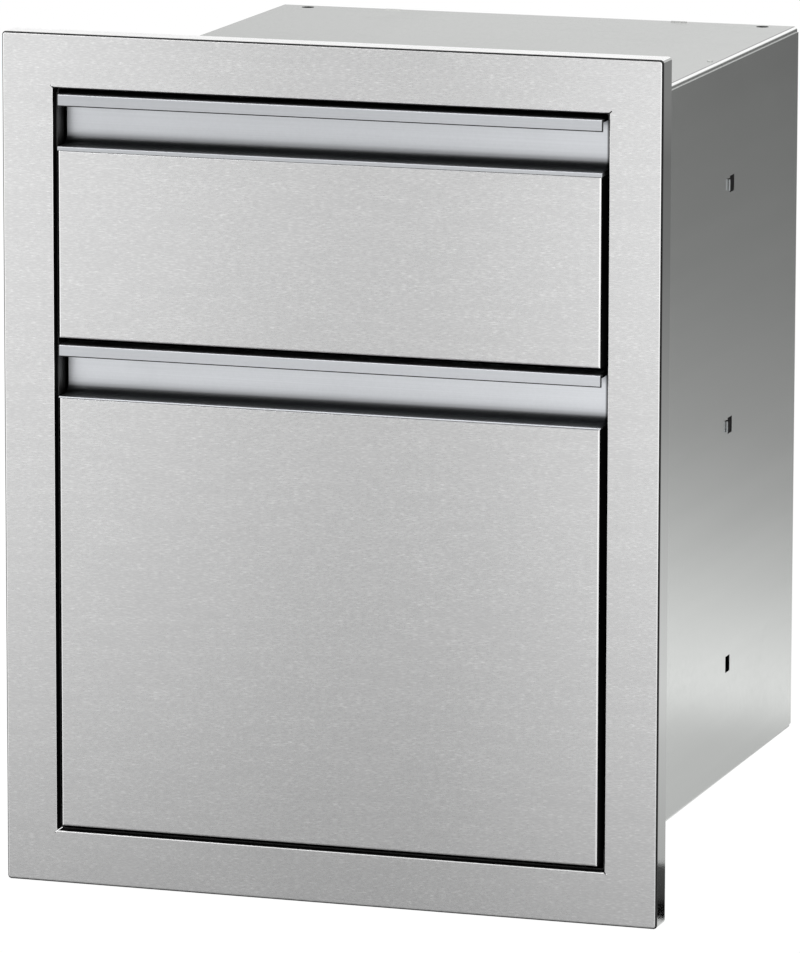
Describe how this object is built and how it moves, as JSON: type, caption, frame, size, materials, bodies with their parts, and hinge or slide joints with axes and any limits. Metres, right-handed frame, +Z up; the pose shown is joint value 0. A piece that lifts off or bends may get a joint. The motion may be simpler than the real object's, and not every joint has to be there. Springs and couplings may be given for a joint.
{
  "type": "trash drawer",
  "caption": "Built-in stainless drawer unit for an outdoor kitchen: face frame and box, a shallow drawer over a tall pull-out trash drawer, channel pulls and ball-bearing slides.",
  "frame": {"origin": "middle of the face frame's lower edge, in the plane of the frame's rear edges that seat on the wall", "axes": "+X to the right seen from the front, +Y into the wall, +Z up; the drawers open towards -Y"},
  "size_m": [0.4826, 0.4945, 0.6096],
  "materials": {
    "brushed_face": "stainless sheet brushed sideways",
    "box_sheet": "satin mill finish",
    "drawer_sheet": "satin mill finish",
    "pull_aluminium": "satin anodised",
    "slide_steel": "zinc plated",
    "cage_steel": "bright strip",
    "ball_steel": "polished",
    "fastener_steel": "bright",
    "bumper_rubber": "matte",
    "bin_plastic": "fine texture"
  },
  "bodies": {
    "cabinet": {"face_frame": "brushed_face", "left_side_panel": "box_sheet", "right_side_panel": "box_sheet", "top_panel": "box_sheet", "bottom_panel": "box_sheet", "back_panel": "box_sheet", "slide_rivets": "fastener_steel", "slide_bumpers": "bumper_rubber", "upper_left_slide_rail": "slide_steel", "upper_right_slide_rail": "slide_steel", "lower_left_slide_rail": "slide_steel", "lower_right_slide_rail": "slide_steel"},
    "upper_drawer": {"upper_front_panel": "brushed_face", "upper_pull": "pull_aluminium", "upper_front_liner": "drawer_sheet", "upper_pull_screws": "fastener_steel", "upper_runner_screws": "fastener_steel", "upper_left_slide_runner": "slide_steel", "upper_right_slide_runner": "slide_steel", "upper_left_wall": "drawer_sheet", "upper_right_wall": "drawer_sheet", "upper_back_wall": "drawer_sheet", "upper_floor": "drawer_sheet"},
    "lower_drawer": {"lower_front_panel": "brushed_face", "lower_pull": "pull_aluminium", "lower_front_liner": "drawer_sheet", "lower_pull_screws": "fastener_steel", "lower_runner_screws": "fastener_steel", "lower_left_slide_runner": "slide_steel", "lower_right_slide_runner": "slide_steel", "carrier_left_rail": "drawer_sheet", "carrier_right_rail": "drawer_sheet", "carrier_front_rail": "drawer_sheet", "carrier_rear_rail": "drawer_sheet"},
    "bin": {"trash_bin": "bin_plastic"},
    "upper_slide_middles": {"upper_left_slide_middle": "slide_steel", "upper_right_slide_middle": "slide_steel"},
    "upper_outer_cages": {"upper_left_outer_cage": "cage_steel", "upper_right_outer_cage": "cage_steel", "upper_outer_balls": "ball_steel"},
    "upper_inner_cages": {"upper_left_inner_cage": "cage_steel", "upper_right_inner_cage": "cage_steel", "upper_inner_balls": "ball_steel"},
    "lower_slide_middles": {"lower_left_slide_middle": "slide_steel", "lower_right_slide_middle": "slide_steel"},
    "lower_outer_cages": {"lower_left_outer_cage": "cage_steel", "lower_right_outer_cage": "cage_steel", "lower_outer_balls": "ball_steel"},
    "lower_inner_cages": {"lower_left_inner_cage": "cage_steel", "lower_right_inner_cage": "cage_steel", "lower_inner_balls": "ball_steel"}
  },
  "joints": [
    {"name": "upper_drawer_slide", "type": "slide", "parent": "cabinet", "child": "upper_drawer", "axis": [0, -1, 0], "range_m": [0, 0.43]},
    {"name": "upper_slide_middles_roll", "type": "slide", "parent": "cabinet", "child": "upper_slide_middles", "axis": [0, -1, 0], "range_m": [0, 0.215]},
    {"name": "upper_outer_cages_roll", "type": "slide", "parent": "cabinet", "child": "upper_outer_cages", "axis": [0, -1, 0], "range_m": [0, 0.1075]},
    {"name": "upper_inner_cages_roll", "type": "slide", "parent": "cabinet", "child": "upper_inner_cages", "axis": [0, -1, 0], "range_m": [0, 0.3225]},
    {"name": "lower_drawer_slide", "type": "slide", "parent": "cabinet", "child": "lower_drawer", "axis": [0, -1, 0], "range_m": [0, 0.43]},
    {"name": "lower_slide_middles_roll", "type": "slide", "parent": "cabinet", "child": "lower_slide_middles", "axis": [0, -1, 0], "range_m": [0, 0.215]},
    {"name": "lower_outer_cages_roll", "type": "slide", "parent": "cabinet", "child": "lower_outer_cages", "axis": [0, -1, 0], "range_m": [0, 0.1075]},
    {"name": "lower_inner_cages_roll", "type": "slide", "parent": "cabinet", "child": "lower_inner_cages", "axis": [0, -1, 0], "range_m": [0, 0.3225]},
    {"name": "bin_lift", "type": "slide", "parent": "lower_drawer", "child": "bin", "axis": [0, 0, 1], "range_m": [0, 0.05]}
  ],
  "couplings": [
    {"joint": "upper_slide_middles_roll", "follows": "upper_drawer_slide", "ratio": 0.5},
    {"joint": "upper_outer_cages_roll", "follows": "upper_drawer_slide", "ratio": 0.25},
    {"joint": "upper_inner_cages_roll", "follows": "upper_drawer_slide", "ratio": 0.75},
    {"joint": "lower_slide_middles_roll", "follows": "lower_drawer_slide", "ratio": 0.5},
    {"joint": "lower_outer_cages_roll", "follows": "lower_drawer_slide", "ratio": 0.25},
    {"joint": "lower_inner_cages_roll", "follows": "lower_drawer_slide", "ratio": 0.75}
  ]
}
